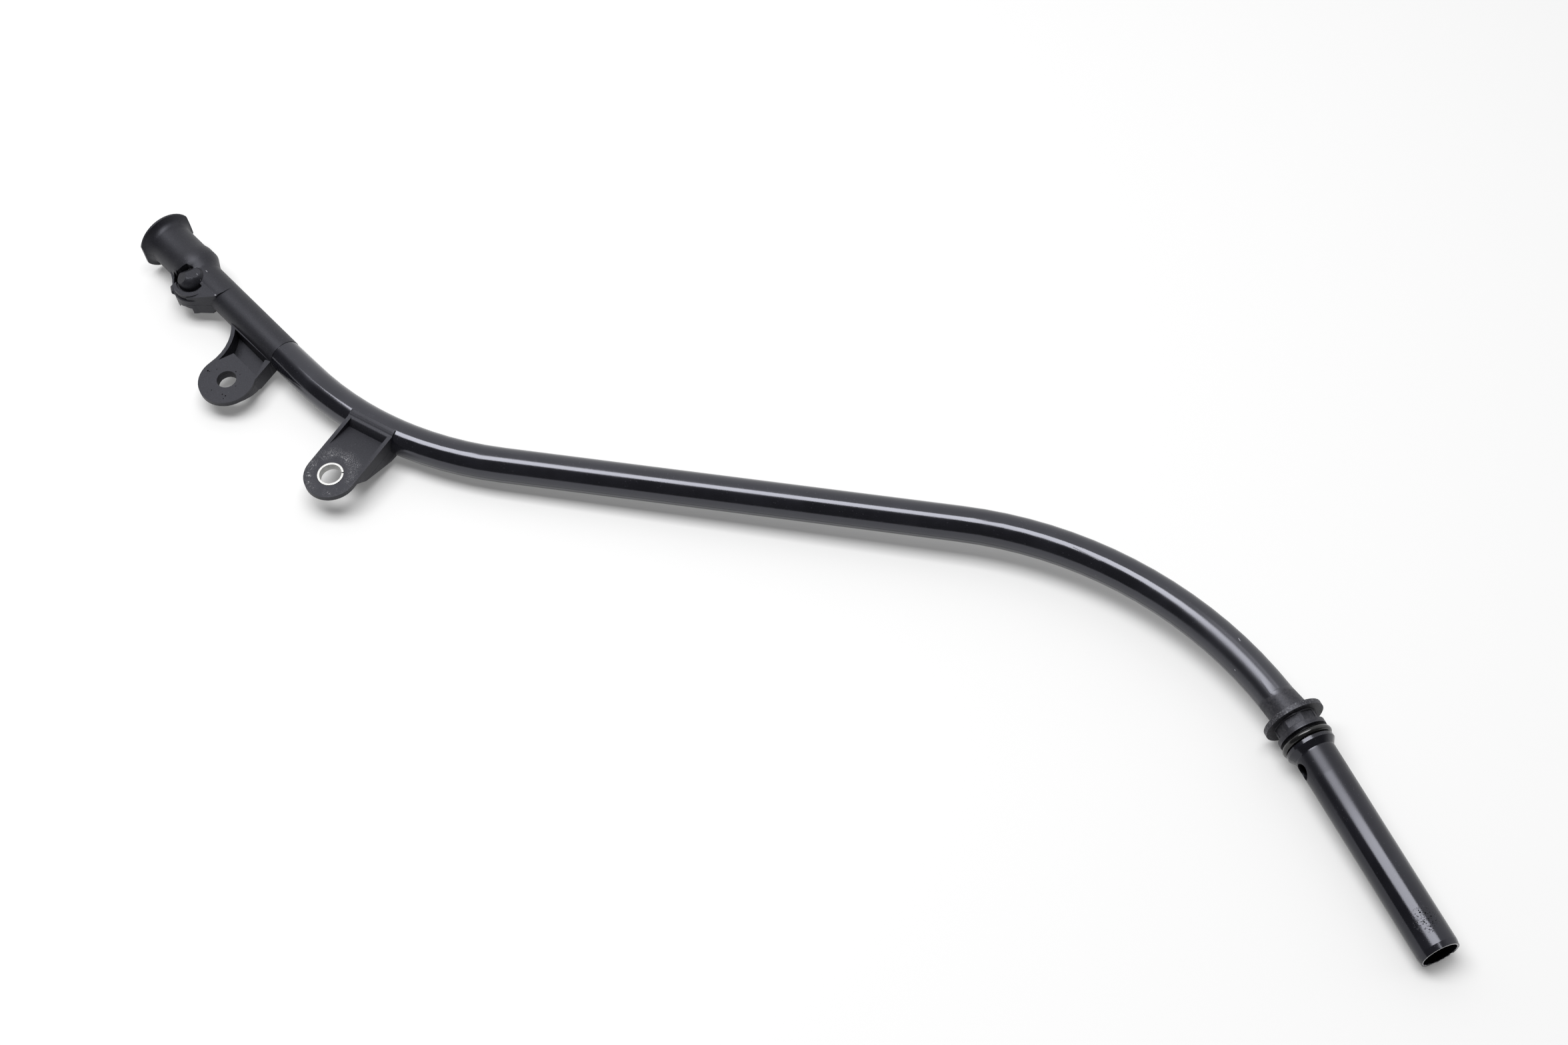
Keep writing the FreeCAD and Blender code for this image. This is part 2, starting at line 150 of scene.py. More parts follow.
def tear_lower_rim(co):
    """The underside of the lower end's rim is worn ragged."""
    along, left, up = placed(co, LOWER_START, LOWER_FRAME)
    if along > RIM_START and up < RIM_UNDERSIDE:
        turn = math.atan2(up, left)
        bite = 0.5 + 0.3 * math.sin(turn * 23.0) + 0.2 * math.sin(turn * 57.0 + 1.0)
        fade = min(1.0, (RIM_UNDERSIDE - up) / 0.002)
        return co - LOWER_ALONG * RIM_BITE * bite * fade
    return co


def on_taper_start(co):
    """True on the crisp ring where the lower end starts to taper."""
    along = placed(co, LOWER_START, LOWER_FRAME)[0]
    return abs(along - TAPER_START) < 0.00006


# %% [markdown]
# ## Softer edges on the moulding
# The CAD solids have knife-sharp edges, and no moulding leaves its tool like
# that. So a copy of each mesh is softened: its corners are merged, its flat
# faces are made whole again, and a bevel rounds every sharp edge a little. The
# rounding is what catches the thin bright lines along the flanges and ribs.
# Last, the large faces lead the smooth shading, so that they stay flat.

# %% Soften a copy of a CAD mesh
MERGE_DISTANCE = 0.000002
FLAT_ANGLE = math.radians(0.3)
LEDGE_ROUNDING = 0.00052


def merged_copy(node, name):
    """A copy of a CAD node with its facets joined into whole faces."""
    copy = frame["nodes"][node].copy()
    copy.data = copy.data.copy()
    copy.name = name
    bpy.context.scene.collection.objects.link(copy)
    bpy.context.view_layer.objects.active = copy
    copy.select_set(True)
    bpy.ops.object.mode_set(mode="EDIT")
    bpy.ops.mesh.select_all(action="SELECT")
    bpy.ops.mesh.remove_doubles(threshold=MERGE_DISTANCE)
    bpy.ops.mesh.dissolve_limited(angle_limit=FLAT_ANGLE)
    bpy.ops.object.mode_set(mode="OBJECT")
    return copy


def edges_where(copy, test):
    """The edges of a mesh whose two ends both pass a test."""
    points = copy.data.vertices
    return [edge for edge in copy.data.edges if all(test(points[i].co) for i in edge.vertices)]


def round_ledge(copy):
    """A wider rounding on the ledge beside the near ear, where a copy has it."""
    ledges = edges_where(copy, on_ear_a_ledge)
    if ledges:
        for item in [*copy.data.vertices, *copy.data.edges, *copy.data.polygons]:
            item.select = False
        for edge in ledges:
            edge.select = True
        bpy.ops.object.mode_set(mode="EDIT")
        bpy.ops.mesh.select_mode(type="EDGE")
        bpy.ops.mesh.bevel(offset=LEDGE_ROUNDING, segments=4)
        bpy.ops.object.mode_set(mode="OBJECT")
        print("ledge edges rounded:", len(ledges))


def softened(node, name, radius, steps, sharp, shapers=()):
    """A merged copy of a CAD node, with edges sharper than `sharp` rounded."""
    copy = merged_copy(node, name)
    for vertex in copy.data.vertices:
        for shaper in shapers:
            vertex.co = shaper(vertex.co.copy())
    round_ledge(copy)
    bevel = copy.modifiers.new("moulded edges", "BEVEL")
    bevel.width = radius
    bevel.segments = steps
    bevel.limit_method = "ANGLE"
    bevel.angle_limit = math.radians(sharp)
    bpy.ops.object.modifier_apply(modifier=bevel.name)
    bpy.ops.object.shade_smooth_by_angle(angle=math.radians(sharp))
    for edge in edges_where(copy, on_taper_start):
        edge.use_edge_sharp = True
    even = copy.modifiers.new("large faces lead", "WEIGHTED_NORMAL")
    even.weight = 100
    even.keep_sharp = True
    bpy.ops.object.modifier_apply(modifier=even.name)
    copy.select_set(False)
    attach(copy, "root")
    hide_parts(node)
    print(name, "has", len(copy.data.polygons), "faces")
    return copy


shapers = (blend_collar_sleeve, tear_lower_rim)
tube = softened("guide_tube", "moulded_tube", radius=0.00022, steps=2, sharp=32, shapers=shapers)
bush = softened("bush", "rolled_bush", radius=0.00015, steps=2, sharp=40)

# %% [markdown]
# ## The saddle over the tube at the far ear
# The far ear's root is a thin saddle that reaches nearly to the top of the tube.
# A grid is rolled on to the saddle's radius and given a thickness, and its sharp
# rim is rounded like the rest. Its turn and spread are degrees from the top.

# %% The saddle of the far ear
SADDLE_RADIUS = 0.00717
SADDLE_HALF = 0.01038
SADDLE_TURN = -13.5
SADDLE_SPREAD = 6.0
SADDLE_THICKNESS = 0.0011
SADDLE_SHARP = math.radians(50)
bpy.ops.mesh.primitive_grid_add(x_subdivisions=20, y_subdivisions=12, size=2.0)
saddle = bpy.context.object
saddle.name = "far_ear_saddle"
for vertex in saddle.data.vertices:
    turn = math.radians(SADDLE_TURN + SADDLE_SPREAD * vertex.co.y)
    along = EAR_B_ALONG * SADDLE_HALF * vertex.co.x
    across = EAR_B_LEFT * math.sin(turn) * SADDLE_RADIUS
    vertex.co = EAR_B_ROOT + along + across + TUBE_UP * math.cos(turn) * SADDLE_RADIUS
solid = saddle.modifiers.new("thickness", "SOLIDIFY")
solid.thickness = SADDLE_THICKNESS
solid.offset = -1.0
bpy.ops.object.modifier_apply(modifier=solid.name)
rim = saddle.modifiers.new("rim", "BEVEL")
rim.width = 0.00018
rim.segments = 2
rim.angle_limit = SADDLE_SHARP
bpy.ops.object.modifier_apply(modifier=rim.name)
bpy.ops.object.shade_smooth_by_angle(angle=SADDLE_SHARP)
saddle.select_set(False)
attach(saddle, "root")
print("saddle faces:", len(saddle.data.polygons))

# %% [markdown]
# ## The seal ring as rubber
# The solid's ring has eight flats round its section. The real one is round and
# shows a thin line where its mould closed, so a torus is added in the groove and
# its outermost circle of points is drawn out by a few hundredths of a millimetre.

# %% The seal ring
RING_CENTRE = sum(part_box("o_ring"), Vector()) / 2
RING_MIDDLE_RADIUS = 0.0081
RING_SECTION_RADIUS = 0.0013
bpy.ops.mesh.primitive_torus_add(major_segments=96, minor_segments=32,
                                 major_radius=RING_MIDDLE_RADIUS,
                                 minor_radius=RING_SECTION_RADIUS)
ring = bpy.context.object
ring.name = "seal_ring"
outermost = RING_MIDDLE_RADIUS + RING_SECTION_RADIUS * 0.999
for vertex in ring.data.vertices:
    vertex.select = vertex.co.xy.length > outermost
bpy.ops.object.mode_set(mode="EDIT")
bpy.ops.transform.resize(value=(1.004, 1.004, 1.0))
bpy.ops.object.mode_set(mode="OBJECT")
lay = Matrix((LOWER_LEFT, TUBE_UP, LOWER_ALONG)).transposed().to_4x4()
ring.data.transform(Matrix.Translation(RING_CENTRE) @ lay)
bpy.ops.object.shade_smooth()
ring.select_set(False)
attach(ring, "root")
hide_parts("o_ring")
print("ring centre:", [round(c, 4) for c in RING_CENTRE])

# %% [markdown]
# ## A small kit for node materials
# A finish is easier to read when each node is made by one short call. `Finish`
# holds one material and offers the few nodes that are used here: noise, cells,
# ramps, sums and distances. Everything reads Object coordinates, so that the
# pattern stays on the plastic from every side.

# %% The node kit
class Finish:
    """One material, its Principled shader and short calls for its nodes."""

    def __init__(self, name):
        self.material = bpy.data.materials.new(name)
        self.material.use_nodes = True
        self.nodes = self.material.node_tree.nodes
        self.links = self.material.node_tree.links
        self.shader = self.nodes["Principled BSDF"]
        self.place = self.nodes.new("ShaderNodeTexCoord").outputs["Object"]

    def link(self, value, socket):
        """Wire another node's output to a socket, or set the socket's value."""
        if isinstance(value, bpy.types.NodeSocket):
            self.links.new(value, socket)
        else:
            socket.default_value = value

    def math(self, operation, a, b=0.0, clamp=False):
        """One sum of two values."""
        node = self.nodes.new("ShaderNodeMath")
        node.operation = operation
        node.use_clamp = clamp
        self.link(a, node.inputs[0])
        self.link(b, node.inputs[1])
        return node.outputs[0]

    def times(self, *values):
        """The product of several values."""
        result = values[0]
        for value in values[1:]:
            result = self.math("MULTIPLY", result, value)
        return result

    def most(self, *values):
        """The largest of several values."""
        result = values[0]
        for value in values[1:]:
            result = self.math("MAXIMUM", result, value)
        return result

    def vector(self, operation, a, b=(0, 0, 0)):
        """One sum of two vectors."""
        node = self.nodes.new("ShaderNodeVectorMath")
        node.operation = operation
        self.link(a, node.inputs[0])
        self.link(b, node.inputs[1])
        return node

    def along(self, start, direction):
        """How far a point lies from start along a direction."""
        offset = self.vector("SUBTRACT", self.place, tuple(start)).outputs[0]
        return self.vector("DOT_PRODUCT", offset, tuple(direction)).outputs["Value"]

    def step(self, value, low, high):
        """0 below low, 1 above high, smooth between them."""
        node = self.nodes.new("ShaderNodeMapRange")
        node.interpolation_type = "SMOOTHSTEP"
        self.link(value, node.inputs["Value"])
        node.inputs["From Min"].default_value = low
        node.inputs["From Max"].default_value = high
        return node.outputs[0]

    def below(self, value, low, high):
        """1 below low, 0 above high, smooth between them."""
        return self.math("SUBTRACT", 1.0, self.step(value, low, high))

    def between(self, value, low, high, soft):
        """1 from low to high, with soft ends."""
        up = self.step(value, low - soft, low + soft)
        down = self.step(value, high - soft, high + soft)
        return self.math("SUBTRACT", up, down, clamp=True)

    def noise(self, scale, detail=2.0, rough=0.5):
        """Cloudy noise of a scale."""
        node = self.nodes.new("ShaderNodeTexNoise")
        self.link(self.place, node.inputs["Vector"])
        node.inputs["Scale"].default_value = scale
        node.inputs["Detail"].default_value = detail
        node.inputs["Roughness"].default_value = rough
        return node.outputs[0]

    def dots(self, scale, edge, share):
        """1 on small round dots in some of the cells of a scale."""
        node = self.nodes.new("ShaderNodeTexVoronoi")
        self.link(self.place, node.inputs["Vector"])
        node.inputs["Scale"].default_value = scale
        dot = self.below(node.outputs["Distance"], *edge)
        chosen = self.step(node.outputs["Color"], *share)
        return self.times(dot, chosen)

    def mix(self, amount, a, b):
        """From value a at 0 to value b at 1."""
        node = self.nodes.new("ShaderNodeMix")
        self.link(amount, node.inputs["Factor"])
        self.link(a, node.inputs["A"])
        self.link(b, node.inputs["B"])
        return node.outputs[0]

    def mix_colour(self, amount, a, b):
        """From colour a at 0 to colour b at 1."""
        node = self.nodes.new("ShaderNodeMix")
        node.data_type = "RGBA"
        self.link(amount, node.inputs["Factor"])
        self.link(a, node.inputs[6])
        self.link(b, node.inputs[7])
        return node.outputs[2]

    def from_axis(self, start, direction):
        """How far a point lies from a straight axis."""
        offset = self.vector("SUBTRACT", self.place, tuple(start)).outputs[0]
        across = self.vector("CROSS_PRODUCT", offset, tuple(direction)).outputs[0]
        return self.vector("LENGTH", across).outputs["Value"]

    def near(self, point, inner, outer):
        """1 within inner of a point, 0 beyond outer."""
        away = self.vector("DISTANCE", self.place, tuple(point)).outputs["Value"]
        return self.below(away, inner, outer)

    def streak(self, start, end, width):
        """1 on a thin straight line between two points of the surface."""
        start, end = Vector(start), Vector(end)
        span = (end - start).length
        share = self.math("DIVIDE", self.along(start, (end - start) / span), span, clamp=True)
        node = self.nodes.new("ShaderNodeMix")
        node.data_type = "VECTOR"
        self.link(share, node.inputs["Factor"])
        self.link(tuple(start), node.inputs[4])
        self.link(tuple(end), node.inputs[5])
        away = self.vector("DISTANCE", self.place, node.outputs[1]).outputs["Value"]
        return self.below(away, width * 0.4, width)

    def bump(self, height, distance, before=None):
        """A surface raised by a height map, on top of an earlier bump."""
        node = self.nodes.new("ShaderNodeBump")
        node.inputs["Strength"].default_value = 1.0
        node.inputs["Distance"].default_value = distance
        self.link(height, node.inputs["Height"])
        if before is not None:
            self.link(before, node.inputs["Normal"])
        return node.outputs[0]


# %% [markdown]
# ## Marks from use
# Each scratch is a start, an end and a width in metres. They are short nicks and
# hair-fine scratches on the tube, and the pale torn ridge on the boss's core.
# Each pit is a place and a radius: dark pocks on the near ear and near the lower
# end.

# %% The list of marks
SCRATCHES = [
    ((0.12272, 0.01598, 0.01938), (0.13260, 0.01202, 0.01903), 0.00012),
    ((0.13620, 0.01240, 0.01930), (0.13180, 0.00820, 0.01400), 0.00010),
    ((0.18444, -0.02296, 0.01461), (0.18560, -0.02330, 0.01440), 0.00030),
    ((0.18445, -0.01240, 0.01863), (0.18500, -0.01330, 0.01860), 0.00025),
    ((-0.22676, 0.08119, 0.01739), (-0.22640, 0.08110, 0.01730), 0.00040),
    ((-0.23400, 0.09192, 0.01845), (-0.23330, 0.09140, 0.01850), 0.00022),
    ((-0.24220, 0.09303, 0.01649), (-0.23860, 0.09080, 0.01960), 0.00016),
    ((-0.23860, 0.09080, 0.01960), (-0.23602, 0.08822, 0.01987), 0.00018),
    ((-0.23602, 0.08822, 0.01987), (-0.23399, 0.08635, 0.01754), 0.00014),
]
END_SPOTS = Vector((0.25399, -0.10751, 0.01512))
PITS = [
    ((-0.22024, 0.04867, 0.01074), 0.00045),
    ((-0.21940, 0.04830, 0.01074), 0.00022),
    ((-0.21587, 0.04002, 0.01030), 0.00024),
    ((-0.21101, 0.03869, 0.01030), 0.00032),
    ((-0.20953, 0.03817, 0.01029), 0.00034),
    ((-0.20995, 0.03678, 0.01020), 0.00026),
    ((0.25116, -0.10513, 0.01517), 0.00022),
    ((0.25162, -0.10576, 0.01514), 0.00034),
]
print("scratches:", len(SCRATCHES), "pits:", len(PITS))

# %% [markdown]
# ## The black plastic
# The long run came off a polished mould and is glossy. The head, both ears and
# the collar came off spark-eroded steel and are matt. One material carries both:
# a mask made of distances chooses the finish. Each pair of numbers below is the
# place where a zone begins to change and the place where it has changed.

# %% Where the plastic is matt
def lower(station):
    """A distance from the mouth, measured from the start of the lower run."""
    return station - LOWER_START_STATION


HEAD_SLEEVE_END = (0.0824, 0.0830)
TUBE_SIDE = (-0.0078, -0.0072)
BETWEEN_EARS = (0.094, 0.096)
FAR_EAR_EDGE = (0.0205, 0.0225)
ROOT_END = (0.01042, 0.01050)
ROOT_TOP = (-0.0008, -0.0007)
ROOT_FOOT = (-0.0045, -0.0040)
COLLAR = (lower(0.5034), lower(0.5200))
RING_START = (lower(0.5171), lower(0.5173))
RAGGED = 0.005

plastic = Finish("black_moulded_plastic")
head_station = plastic.along(MOUTH, HEAD_ALONG)
head_side = plastic.along(MOUTH, HEAD_LEFT)
on_sleeve = plastic.below(head_station, *HEAD_SLEEVE_END)
beside = plastic.below(head_side, *TUBE_SIDE)
on_ear_a = plastic.times(beside, plastic.below(head_station, *BETWEEN_EARS))

bush_offset = plastic.vector("SUBTRACT", plastic.place, tuple(BUSH_CENTRE)).outputs[0]
flat = plastic.vector("MULTIPLY", bush_offset, (1, 1, 0)).outputs[0]
bush_distance = plastic.vector("LENGTH", flat).outputs["Value"]
on_ear_b = plastic.below(bush_distance, *FAR_EAR_EDGE)
root_along = plastic.math("ABSOLUTE", plastic.along(EAR_B_ROOT, EAR_B_ALONG))
root_side = plastic.along(EAR_B_ROOT, EAR_B_LEFT)
root_up = plastic.along(EAR_B_ROOT, TUBE_UP)
by_root = plastic.below(root_along, *ROOT_END)
over_root = plastic.below(root_side, *ROOT_TOP)
on_root = plastic.times(by_root, over_root, plastic.step(root_up, *ROOT_FOOT))

lower_station = plastic.along(LOWER_START, LOWER_ALONG)
ragged = plastic.times(plastic.noise(160.0, 3.0), RAGGED)
ragged_station = plastic.math("ADD", lower_station, ragged)
on_collar = plastic.between(ragged_station, *COLLAR, 0.0008)
on_collar = plastic.times(on_collar, plastic.below(lower_station, *RING_START))
matt = plastic.most(on_sleeve, on_ear_a, on_ear_b, on_collar, on_root)
print("matt zones: head, two ears, collar")

# %% [markdown]
# ## Where the gloss fades
# Towards the collar the gloss fades over a few centimetres, as the mould's polish
# does there. Behind the seal ring the cone shines again, and further down the
# polish comes back with a ragged edge.

# %% Where the gloss fades
SPIGOT_START = (lower(0.5172), lower(0.5180))
FADE = (lower(0.440), lower(0.478))
RIGHT_OF_BEND = (0.12, 0.16)
CONE = (lower(0.5175), lower(0.5252))
POLISH_EDGE = (lower(0.5368), lower(0.5376))
POLISH_REST = (lower(0.540), lower(0.566))
across_x = plastic.along((0, 0, 0), (1, 0, 0))
on_spigot = plastic.step(lower_station, *SPIGOT_START)
fading = plastic.step(lower_station, *FADE)
fading = plastic.times(fading, plastic.step(across_x, *RIGHT_OF_BEND))
polish_edge = plastic.step(ragged_station, *POLISH_EDGE)
polish_rest = plastic.step(lower_station, *POLISH_REST)
polished = plastic.mix(0.7, polish_edge, polish_rest)
on_cone = plastic.between(lower_station, *CONE, 0.0004)
dull = plastic.math("SUBTRACT", fading, plastic.most(polished, on_cone), clamp=True)
print("nodes that place the finishes:", len(plastic.nodes))

# %% [markdown]
# ## Wear round the far ear's bush
# A bolt head has scraped the far ear pale round its bush and left a clean dark
# ring under its flange. Fine speckles and coarse gouges are noise, kept inside
# two rings. The side towards the tube is scraped more than the other.

# %% Scuffs round the bush
SCUFF_RING = (0.0070, 0.0115)
GOUGE_RING = (0.0072, 0.0098)
speckle = plastic.step(plastic.noise(4200.0, 2.0, 0.6), 0.54, 0.64)
patches = plastic.step(plastic.noise(150.0, 3.0, 0.6), 0.38, 0.60)
scuff_zone = plastic.between(bush_distance, *SCUFF_RING, 0.0016)
gouge = plastic.step(plastic.noise(800.0, 4.0, 0.75), 0.58, 0.66)
gouge_zone = plastic.between(bush_distance, *GOUGE_RING, 0.0008)
gouge = plastic.times(gouge_zone, gouge, patches)
tube_side = plastic.along(BUSH_CENTRE, EAR_B_LEFT)
rubbed = plastic.mix(plastic.step(tube_side, -0.004, 0.002), 0.35, 1.0)
scuff = plastic.times(scuff_zone, speckle, patches, rubbed, 0.7)
scuff = plastic.most(scuff, gouge)
print("rings of wear round the bush: 2")

# %% [markdown]
# ## Wear, dust and painted highlights at the collar and the lower end
# The seat flange's rim has rubbed on the engine block, so it is pale, and part of
# that paleness is a painted highlight along its edge. Fine dust clings to the matt
# collar. The light line on the lower end's face is a painted highlight on its rim.

# %% The seat flange, the collar and the end face
SEAT_FLANGE = (lower(0.5075), lower(0.5120))
SEAT_RIM = (0.0092, 0.0104)
END_FACE = (lower(0.60485), lower(0.60495))
PAINTED_RIM_HIGHLIGHT_RADII = (0.00630, 0.00665)
lower_radius = plastic.from_axis(LOWER_START, LOWER_ALONG)
seat_zone = plastic.between(lower_station, *SEAT_FLANGE, 0.0004)
seat_rim = plastic.step(lower_radius, *SEAT_RIM)
seat_noise = plastic.step(plastic.noise(1500.0, 4.0, 0.8), 0.50, 0.66)
# pale patches on the seat flange's rim: partly rub wear, partly a painted highlight along the
# edge
seat_rim_wear_and_highlight = plastic.times(seat_zone, seat_rim, seat_noise, 0.85)
dusty = plastic.step(plastic.noise(900.0, 4.0, 0.7), 0.35, 0.70)
collar_dust = plastic.times(on_collar, dusty, 0.45)
end_face = plastic.step(lower_station, *END_FACE)
# the thin light ring on the end face is a painted highlight on the rim's edge
painted_rim_highlight = plastic.times(end_face, plastic.between(lower_radius, *PAINTED_RIM_HIGHLIGHT_RADII, 0.00006))
print("worn places at the lower end: 3")

# %% [markdown]
# ## Scratches, dust and pits
# Fine scratches and nicks lie where the tube was knocked in use, and each is a
# short streak between two points of the surface. Dust is scattered everywhere.
# The near ear's face is pitted round its hole.

# %% Scratches, dust and pits
scratch = plastic.most(*[plastic.streak(*mark) for mark in SCRATCHES])
dust = plastic.dots(300.0, (0.02, 0.05), (0.94, 0.95))
pit = plastic.dots(900.0, (0.10, 0.26), (0.80, 0.82))
pit = plastic.times(pit, plastic.near(EAR_A_HOLE, 0.008, 0.012))
spot = plastic.step(plastic.noise(1500.0, 4.0, 0.7), 0.56, 0.62)
spot = plastic.times(spot, plastic.near(END_SPOTS, 0.0018, 0.0058))
pocks = [plastic.near(place, size * 0.5, size) for place, size in PITS]
pit = plastic.most(pit, spot, *pocks)
print("pocks placed by hand:", len(pocks))

# %% [markdown]
# ## Colour of the plastic
# Both finishes are nearly black and a little blue. Layers of wear, dust, painted
# glints and a painted rim highlight are laid over them, one colour for each mask.

# %% Colour of the plastic
GLOSS_BLACK = (0.0045, 0.0045, 0.0062, 1)
GLOSS_HAZE = (0.0085, 0.0085, 0.0115, 1)
MATT_BLACK = (0.0050, 0.0050, 0.0066, 1)
MATT_GREY = (0.0120, 0.0120, 0.0152, 1)
haze = plastic.step(plastic.noise(55.0, 4.0, 0.6), 0.35, 0.75)
grain = plastic.noise(2600.0, 2.0, 0.6)
# pale specks scattered over the plastic are painted glints, a painted highlight in the base
# colour
painted_glint = plastic.dots(1700.0, (0.12, 0.34), (0.80, 0.84))
gloss_colour = plastic.mix_colour(haze, GLOSS_BLACK, GLOSS_HAZE)
matt_colour = plastic.mix_colour(plastic.step(grain, 0.30, 0.70), MATT_BLACK, MATT_GREY)
colour = plastic.mix_colour(matt, gloss_colour, matt_colour)
LAYERS = [
    (collar_dust, (0.050, 0.048, 0.052, 1)),
    (plastic.times(painted_glint, 0.55), (0.055, 0.055, 0.065, 1)),
    (pit, (0.002, 0.002, 0.002, 1)),
    (scuff, (0.26, 0.26, 0.27, 1)),
    (seat_rim_wear_and_highlight, (0.13, 0.13, 0.14, 1)),
    (painted_rim_highlight, (0.42, 0.42, 0.44, 1)),
    (scratch, (0.20, 0.20, 0.22, 1)),
    (plastic.times(dust, 0.6), (0.40, 0.40, 0.39, 1)),
]
for mask, tint in LAYERS:
    colour = plastic.mix_colour(mask, colour, tint)
plastic.link(colour, plastic.shader.inputs["Base Color"])
print("layers over the black:", len(LAYERS))

# %% [markdown]
# ## Gloss and surface of the plastic
# Roughness and the strength of the reflection follow the same masks. Three bumps
# lie on top of each other: the mould's parting line, the grain, and the marks,
# which are cut in.

# %% Gloss and surface of the plastic
gloss_rough = plastic.mix(haze, 0.13, 0.18)
matt_rough = plastic.mix(haze, 0.46, 0.54)
rough = plastic.mix(dull, gloss_rough, 0.33)
rough = plastic.mix(matt, rough, matt_rough)
rough = plastic.mix(plastic.most(scuff, scratch), rough, 0.6)
plastic.link(rough, plastic.shader.inputs["Roughness"])
plastic.shader.inputs["IOR"].default_value = 1.5
plastic.shader.inputs["Specular Tint"].default_value = (0.88, 0.89, 1.0, 1)
level = plastic.mix(on_spigot, 0.80, 0.50)
level = plastic.mix(plastic.times(dull, on_spigot), level, 0.40)
level = plastic.mix(matt, level, 0.38)
level = plastic.mix(pit, level, 0.0)
plastic.link(level, plastic.shader.inputs["Specular IOR Level"])

LINE_HEIGHT = 0.0001
GRAIN_HEIGHT = 0.00006
MARK_DEPTH = 0.0001
plane_height = plastic.along(MOUTH, TUBE_UP)
line = plastic.below(plastic.math("ABSOLUTE", plane_height), 0.00004, 0.0002)
surface = plastic.bump(line, LINE_HEIGHT)
matt_grain = plastic.times(grain, plastic.mix(matt, 0.10, 0.60))
surface = plastic.bump(matt_grain, GRAIN_HEIGHT, surface)
marks = plastic.math("SUBTRACT", 1.0, plastic.most(scratch, pit))
surface = plastic.bump(marks, MARK_DEPTH, surface)
plastic.link(surface, plastic.shader.inputs["Normal"])

tube.data.materials.clear()
tube.data.materials.append(plastic.material)
saddle.data.materials.append(plastic.material)
print("plastic nodes:", len(plastic.nodes))

# %% [markdown]
# ## The bush
# The bush is rolled from plated steel strip. Its rim is bright, with dull patches
# where a bolt head has turned on it. Inside its hole the metal is duller, as the
# bolt has left oil and dirt there.

# %% Plated steel
BUSH_BORE = (0.00425, 0.00435)
BRIGHT_PLATING = (0.66, 0.66, 0.65, 1)
WORN_PLATING = (0.30, 0.30, 0.29, 1)
steel = Finish("plated_steel")
wear = steel.noise(900.0, 4.0, 0.65)
radius = steel.from_axis(BUSH_CENTRE, TUBE_UP)
inside = steel.below(radius, *BUSH_BORE)
plating = steel.mix_colour(wear, BRIGHT_PLATING, WORN_PLATING)
steel.link(plating, steel.shader.inputs["Base Color"])
steel.link(steel.mix(inside, 1.0, 0.35), steel.shader.inputs["Metallic"])
rough = steel.mix(wear, 0.22, 0.46)
steel.link(steel.mix(inside, rough, 0.6), steel.shader.inputs["Roughness"])
steel.link(steel.bump(wear, 0.00004), steel.shader.inputs["Normal"])
bush.data.materials.clear()
bush.data.materials.append(steel.material)
print("steel nodes:", len(steel.nodes))

# %% [markdown]
# ## The rubber
# Nitrile rubber is dark, a little shiny where it is stretched, and holds dust.

# %% Rubber
CLEAN_RUBBER = (0.005, 0.005, 0.005, 1)
DUSTY_RUBBER = (0.014, 0.014, 0.014, 1)
rubber = Finish("seal_rubber")
film = rubber.noise(500.0, 4.0, 0.6)
shade = rubber.mix_colour(rubber.step(film, 0.5, 0.8), CLEAN_RUBBER, DUSTY_RUBBER)
rubber.link(shade, rubber.shader.inputs["Base Color"])
rubber.link(rubber.mix(film, 0.14, 0.26), rubber.shader.inputs["Roughness"])
rubber.link(rubber.bump(film, 0.00003), rubber.shader.inputs["Normal"])
ring.data.materials.append(rubber.material)
print("rubber nodes:", len(rubber.nodes))

# %% [markdown]
# ## The table
# The tube lies on white paper. The paper glows a little, which keeps it white and
# its shadows soft, and it has no shine of its own.

# %% The table
PAPER_WHITE = (0.56, 0.56, 0.56, 1)
PAPER_GLOW = 0.15
bpy.ops.mesh.primitive_plane_add(size=12.0, location=(0, 0, 0))
table = bpy.context.object
table.name = "table"
paper = bpy.data.materials.new("white_paper")
paper.use_nodes = True
sheet = paper.node_tree.nodes["Principled BSDF"].inputs
sheet["Base Color"].default_value = PAPER_WHITE
sheet["Emission Color"].default_value = (1, 1, 1, 1)
sheet["Emission Strength"].default_value = PAPER_GLOW
sheet["Roughness"].default_value = 0.9
sheet["Specular IOR Level"].default_value = 0.0
table.data.materials.append(paper)
print("table:", table.name)

# %% [markdown]
# ## The light
# One long soft box gives the long clear highlight that shows how round the tube
# is. Its energy is worked out from its size, so that its brightness stays the
# same when the size is changed.

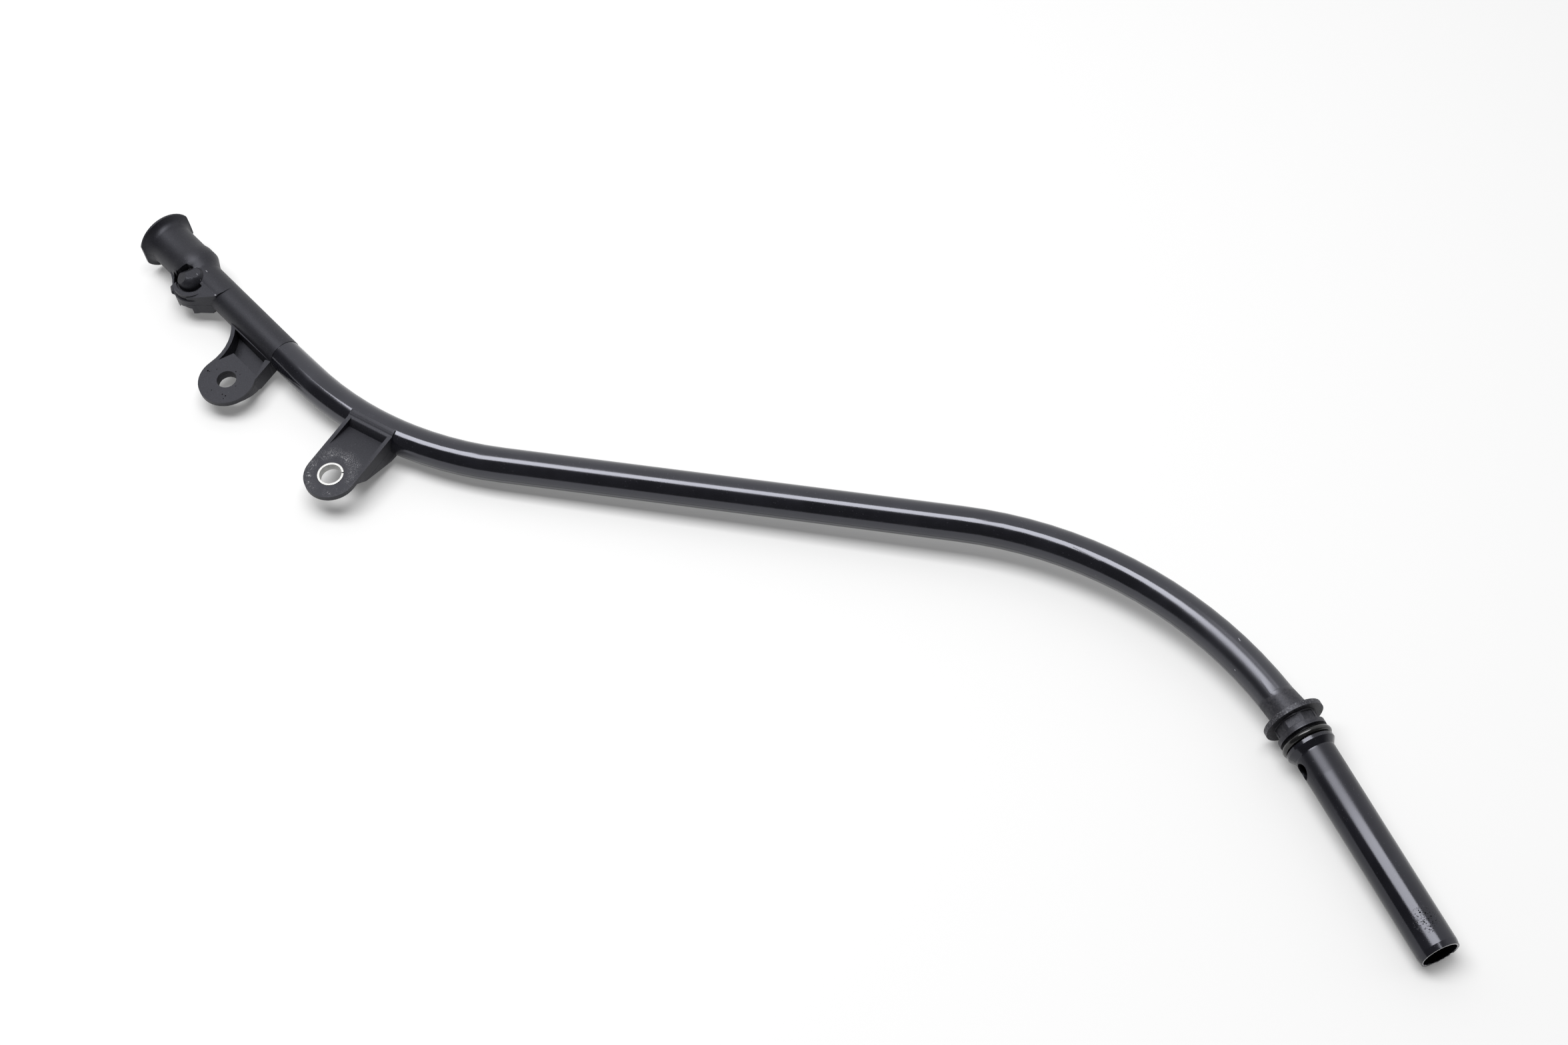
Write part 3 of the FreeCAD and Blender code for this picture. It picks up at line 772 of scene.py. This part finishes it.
# %% The soft box
SOFTBOX_LENGTH = 1.55
SOFTBOX_WIDTH = 0.72
SOFTBOX_LEVEL = 9.2
bpy.ops.object.light_add(type="AREA", location=(-0.33, 0.06, 1.5))
softbox = bpy.context.object
softbox.name = "soft_box"
softbox.data.shape = "RECTANGLE"
softbox.data.size = SOFTBOX_LENGTH
softbox.data.size_y = SOFTBOX_WIDTH
softbox.data.energy = SOFTBOX_LEVEL * math.pi * SOFTBOX_LENGTH * SOFTBOX_WIDTH
print("soft box energy:", round(softbox.data.energy, 2))

# %% [markdown]
# ## The room
# The room is dark on the near side and light on the far side, which gives the
# dark band beside the highlight. The camera itself sees the room as white.

# %% The room
world = bpy.data.worlds.new("studio")
bpy.context.scene.world = world
world.use_nodes = True
nodes = world.node_tree.nodes
links = world.node_tree.links
sky = nodes["Background"]
direction = nodes.new("ShaderNodeTexCoord")
split = nodes.new("ShaderNodeSeparateXYZ")
links.new(direction.outputs["Generated"], split.inputs[0])
side = nodes.new("ShaderNodeMapRange")
side.interpolation_type = "SMOOTHSTEP"
side.inputs["From Min"].default_value = -0.10
side.inputs["From Max"].default_value = 0.45
side.inputs["To Min"].default_value = 0.10
side.inputs["To Max"].default_value = 1.0
links.new(split.outputs["Y"], side.inputs["Value"])
path = nodes.new("ShaderNodeLightPath")
level = nodes.new("ShaderNodeMath")
level.operation = "MAXIMUM"
links.new(side.outputs[0], level.inputs[0])
links.new(path.outputs["Is Camera Ray"], level.inputs[1])
links.new(level.outputs[0], sky.inputs["Strength"])
sky.inputs["Color"].default_value = (1, 1, 1, 1)
print("world:", world.name)

# %% [markdown]
# ## The camera
# The camera's place, turn and lens were fitted to the round holes, the flanges
# and the parallel sides of the tube in the photo.

# %% The camera
CAMERA_PLACE = (0.14001, -0.47927, 0.73690)
CAMERA_TURN = (35.0082, 2.1009, 11.0697)
CAMERA_LENS = 55.10
bpy.ops.object.camera_add(location=CAMERA_PLACE)
camera = bpy.context.object
camera.rotation_euler = [math.radians(angle) for angle in CAMERA_TURN]
camera.data.sensor_width = 36.0
camera.data.lens = CAMERA_LENS
camera.data.clip_start = 0.01
bpy.context.scene.camera = camera
bpy.context.scene.view_settings.view_transform = "Standard"
print("lens:", CAMERA_LENS, "mm")
